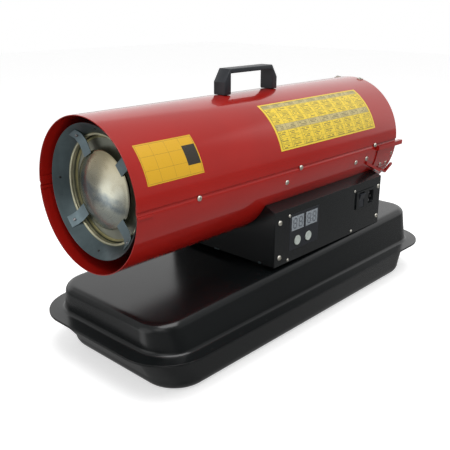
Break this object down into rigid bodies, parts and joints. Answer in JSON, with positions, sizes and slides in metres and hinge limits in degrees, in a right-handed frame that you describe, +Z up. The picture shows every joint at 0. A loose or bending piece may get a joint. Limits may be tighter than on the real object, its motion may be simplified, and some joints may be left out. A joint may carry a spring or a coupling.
{
  "type": "diesel air heater",
  "caption": "Portable forced-air diesel heater: red steel barrel with a domed flame spreader and a grip, a black control box, and a flanged pressed-steel fuel tank as its base.",
  "frame": {"origin": "centre of the tank's flat underside, on the floor", "axes": "+Z up, -Y out of the hot air outlet, +Y towards the fan inlet, +X towards the control panel"},
  "size_m": [0.31, 0.728, 0.4184],
  "materials": {
    "black_paint": "satin black powder coat on pressed steel",
    "red_paint": "glossy red powder coat",
    "black_plastic": "moulded black plastic with a fine texture",
    "galvanised": "dull galvanised sheet",
    "stainless": "brushed stainless with a heat tint",
    "bright_steel": "machined steel",
    "cast_aluminium": "cast aluminium",
    "brass": "machined brass",
    "rubber": "black rubber",
    "felt": "pressed felt",
    "ceramic": "glazed ceramic",
    "clear_lens": "clear",
    "display_face": "grey display filter",
    "pale_plastic": "pale grey plastic",
    "circuit_board": "green laminate"
  },
  "bodies": {
    "heater": {"tank_lower_shell": "black_paint", "tank_upper_shell": "black_paint", "filler_neck": "black_paint", "box_frame": "black_paint", "control_panel": "black_paint", "side_cover": "black_paint", "rear_guard": "black_paint", "motor": "black_paint", "barrel_lower_shell": "red_paint", "barrel_upper_shell": "red_paint", "cord_hook_bracket": "red_paint", "gauge_body": "black_plastic", "handle": "black_plastic", "power_module": "black_plastic", "ignition_transformer": "black_plastic", "temperature_probe": "black_plastic", "photocell": "black_plastic", "combustion_chamber": "galvanised", "chamber_front_ring": "galvanised", "flame_tube": "galvanised", "spreader_strap_1": "galvanised", "spreader_strap_2": "galvanised", "spreader_strap_3": "galvanised", "spreader_strap_4": "galvanised", "chamber_rear_plate": "galvanised", "burner_head": "galvanised", "chamber_saddle_front": "galvanised", "chamber_saddle_rear": "galvanised", "motor_saddle": "galvanised", "box_foot_left": "galvanised", "box_foot_right": "galvanised", "spreader_dome": "stainless", "inlet_contacts": "bright_steel", "pump_body": "cast_aluminium", "pump_end_cover": "cast_aluminium", "limit_thermostat": "cast_aluminium", "nozzle": "brass", "pressure_screw": "brass", "drain_plug": "brass", "fuel_pickup": "brass", "fuel_hose": "rubber", "air_hose": "rubber", "pump_filter": "felt", "fuel_filter": "felt", "electrode_left": "ceramic", "electrode_right": "ceramic", "gauge_lens": "clear_lens", "display_left": "display_face", "display_right": "display_face", "control_board": "circuit_board"},
    "rotor": {"motor_shaft": "bright_steel", "fan": "cast_aluminium", "pump_rotor": "bright_steel"},
    "cap_plug": {"cap_plug": "rubber"},
    "fuel_cap": {"fuel_cap": "black_plastic"},
    "button_left": {"button_left": "pale_plastic"},
    "button_right": {"button_right": "pale_plastic"},
    "rocker_switch": {"rocker_switch": "black_plastic"},
    "gauge_float": {"gauge_float": "brass"},
    "gauge_pointer": {"gauge_pointer": "pale_plastic"}
  },
  "joints": [
    {"name": "rotor_spin", "type": "hinge", "parent": "heater", "child": "rotor", "pos_m": [0, 0.1, 0.271], "axis": [0, 1, 0], "continuous": true},
    {"name": "cap_lift", "type": "slide", "parent": "heater", "child": "cap_plug", "axis": [0, -0.0299, 0.9996], "range_m": [0, 0.04]},
    {"name": "cap_turn", "type": "hinge", "parent": "cap_plug", "child": "fuel_cap", "pos_m": [-0.076, 0.3012, 0.144], "axis": [0, -0.0299, 0.9996], "range_deg": [0, 90]},
    {"name": "button_left_press", "type": "slide", "parent": "heater", "child": "button_left", "axis": [-1, 0, 0], "range_m": [0, 0.001], "stiffness_N_per_m": 600, "springref_m": -0.001},
    {"name": "button_right_press", "type": "slide", "parent": "heater", "child": "button_right", "axis": [-1, 0, 0], "range_m": [0, 0.001], "stiffness_N_per_m": 600, "springref_m": -0.001},
    {"name": "rocker_tip", "type": "hinge", "parent": "heater", "child": "rocker_switch", "pos_m": [0.112, 0.149, 0.1808], "axis": [0, 1, 0], "range_deg": [-16, 0]},
    {"name": "float_swing", "type": "hinge", "parent": "heater", "child": "gauge_float", "pos_m": [0.046, 0.30118, 0.0772], "axis": [-1, 0, 0], "range_deg": [0, 60]},
    {"name": "pointer_turn", "type": "hinge", "parent": "heater", "child": "gauge_pointer", "pos_m": [0.046, 0.29955, 0.13157], "axis": [0, -0.0299, 0.9996], "range_deg": [0, 90]}
  ],
  "couplings": [
    {"joint": "pointer_turn", "follows": "float_swing", "ratio": 1.5}
  ]
}
